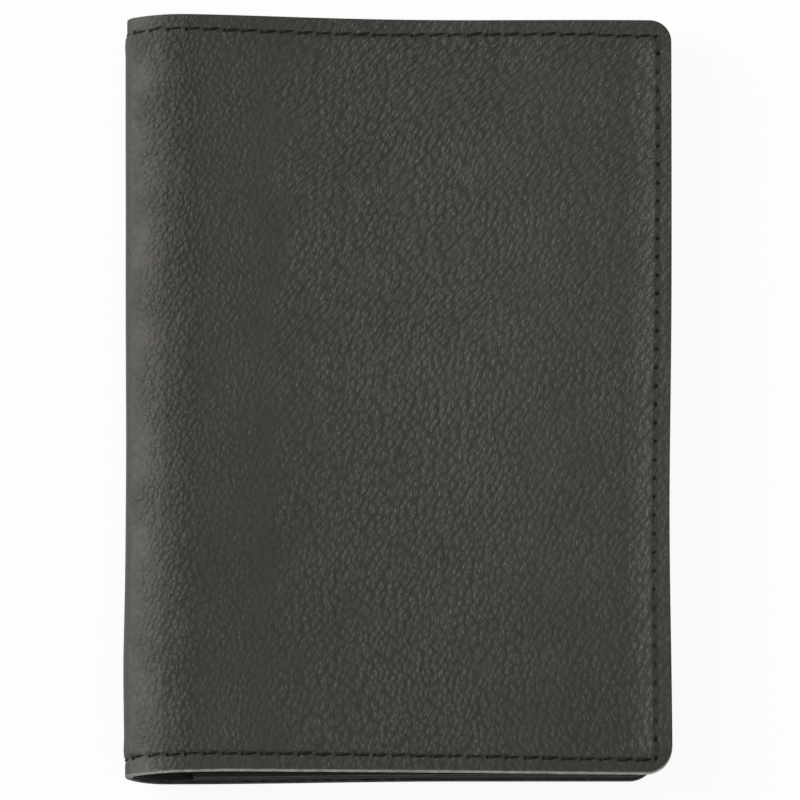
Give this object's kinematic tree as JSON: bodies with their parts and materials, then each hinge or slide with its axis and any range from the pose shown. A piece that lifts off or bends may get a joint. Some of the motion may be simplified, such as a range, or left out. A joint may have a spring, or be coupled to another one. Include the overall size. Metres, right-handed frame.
{
  "type": "badge holder",
  "caption": "Folding leather badge case, shut: stitched covers on a rolled fold, a clear badge window inside the back and a slip pocket inside the front.",
  "frame": {"origin": "under the middle of the shut case, on the surface that its back cover lies on", "axes": "+X from the fold to the free edges, +Y along the fold towards the top of the case, +Z out of the front cover"},
  "size_m": [0.08, 0.114, 0.0083],
  "materials": {
    "outer_leather": "semi-matt pebble grain, raw cut edges",
    "inner_leather": "thin smooth leather",
    "lining": "fine woven black cloth",
    "welt": "bonded leather board",
    "window_film": "clear flexible film",
    "thread": "waxed black polyester thread"
  },
  "bodies": {
    "back_half": {"back_cover": "outer_leather", "back_top_thread": "thread", "back_side_thread": "thread", "back_bottom_thread": "thread", "back_lining": "lining", "badge_pocket_welt": "welt", "badge_window_film": "window_film", "badge_window_frame": "inner_leather", "badge_window_thread": "thread", "back_inner_thread": "thread"},
    "spine_back": {"spine_back_leather": "outer_leather", "spine_back_lining": "lining", "spine_back_top_thread": "thread", "spine_back_bottom_thread": "thread"},
    "spine_front": {"spine_front_leather": "outer_leather", "spine_front_lining": "lining", "spine_front_top_thread": "thread", "spine_front_bottom_thread": "thread"},
    "front_half": {"front_cover": "outer_leather", "front_top_thread": "thread", "front_side_thread": "thread", "front_bottom_thread": "thread", "front_lining": "lining", "front_pocket_panel": "inner_leather", "front_inner_thread": "thread"}
  },
  "joints": [
    {"name": "back_fold", "type": "hinge", "parent": "back_half", "child": "spine_back", "pos_m": [-0.0372, 0, 0.0005], "axis": [0, -1, 0], "range_deg": [0, 53.13]},
    {"name": "tip_fold", "type": "hinge", "parent": "spine_back", "child": "spine_front", "pos_m": [-0.04025, 0, 0.0047], "axis": [0, -1, 0], "range_deg": [0, 95.23]},
    {"name": "front_fold", "type": "hinge", "parent": "spine_front", "child": "front_half", "pos_m": [-0.03514, 0, 0.00805], "axis": [0, -1, 0], "range_deg": [0, 34.05]}
  ],
  "couplings": [
    {"joint": "tip_fold", "follows": "back_fold", "ratio": 1.7924},
    {"joint": "front_fold", "follows": "back_fold", "ratio": 0.64083}
  ]
}
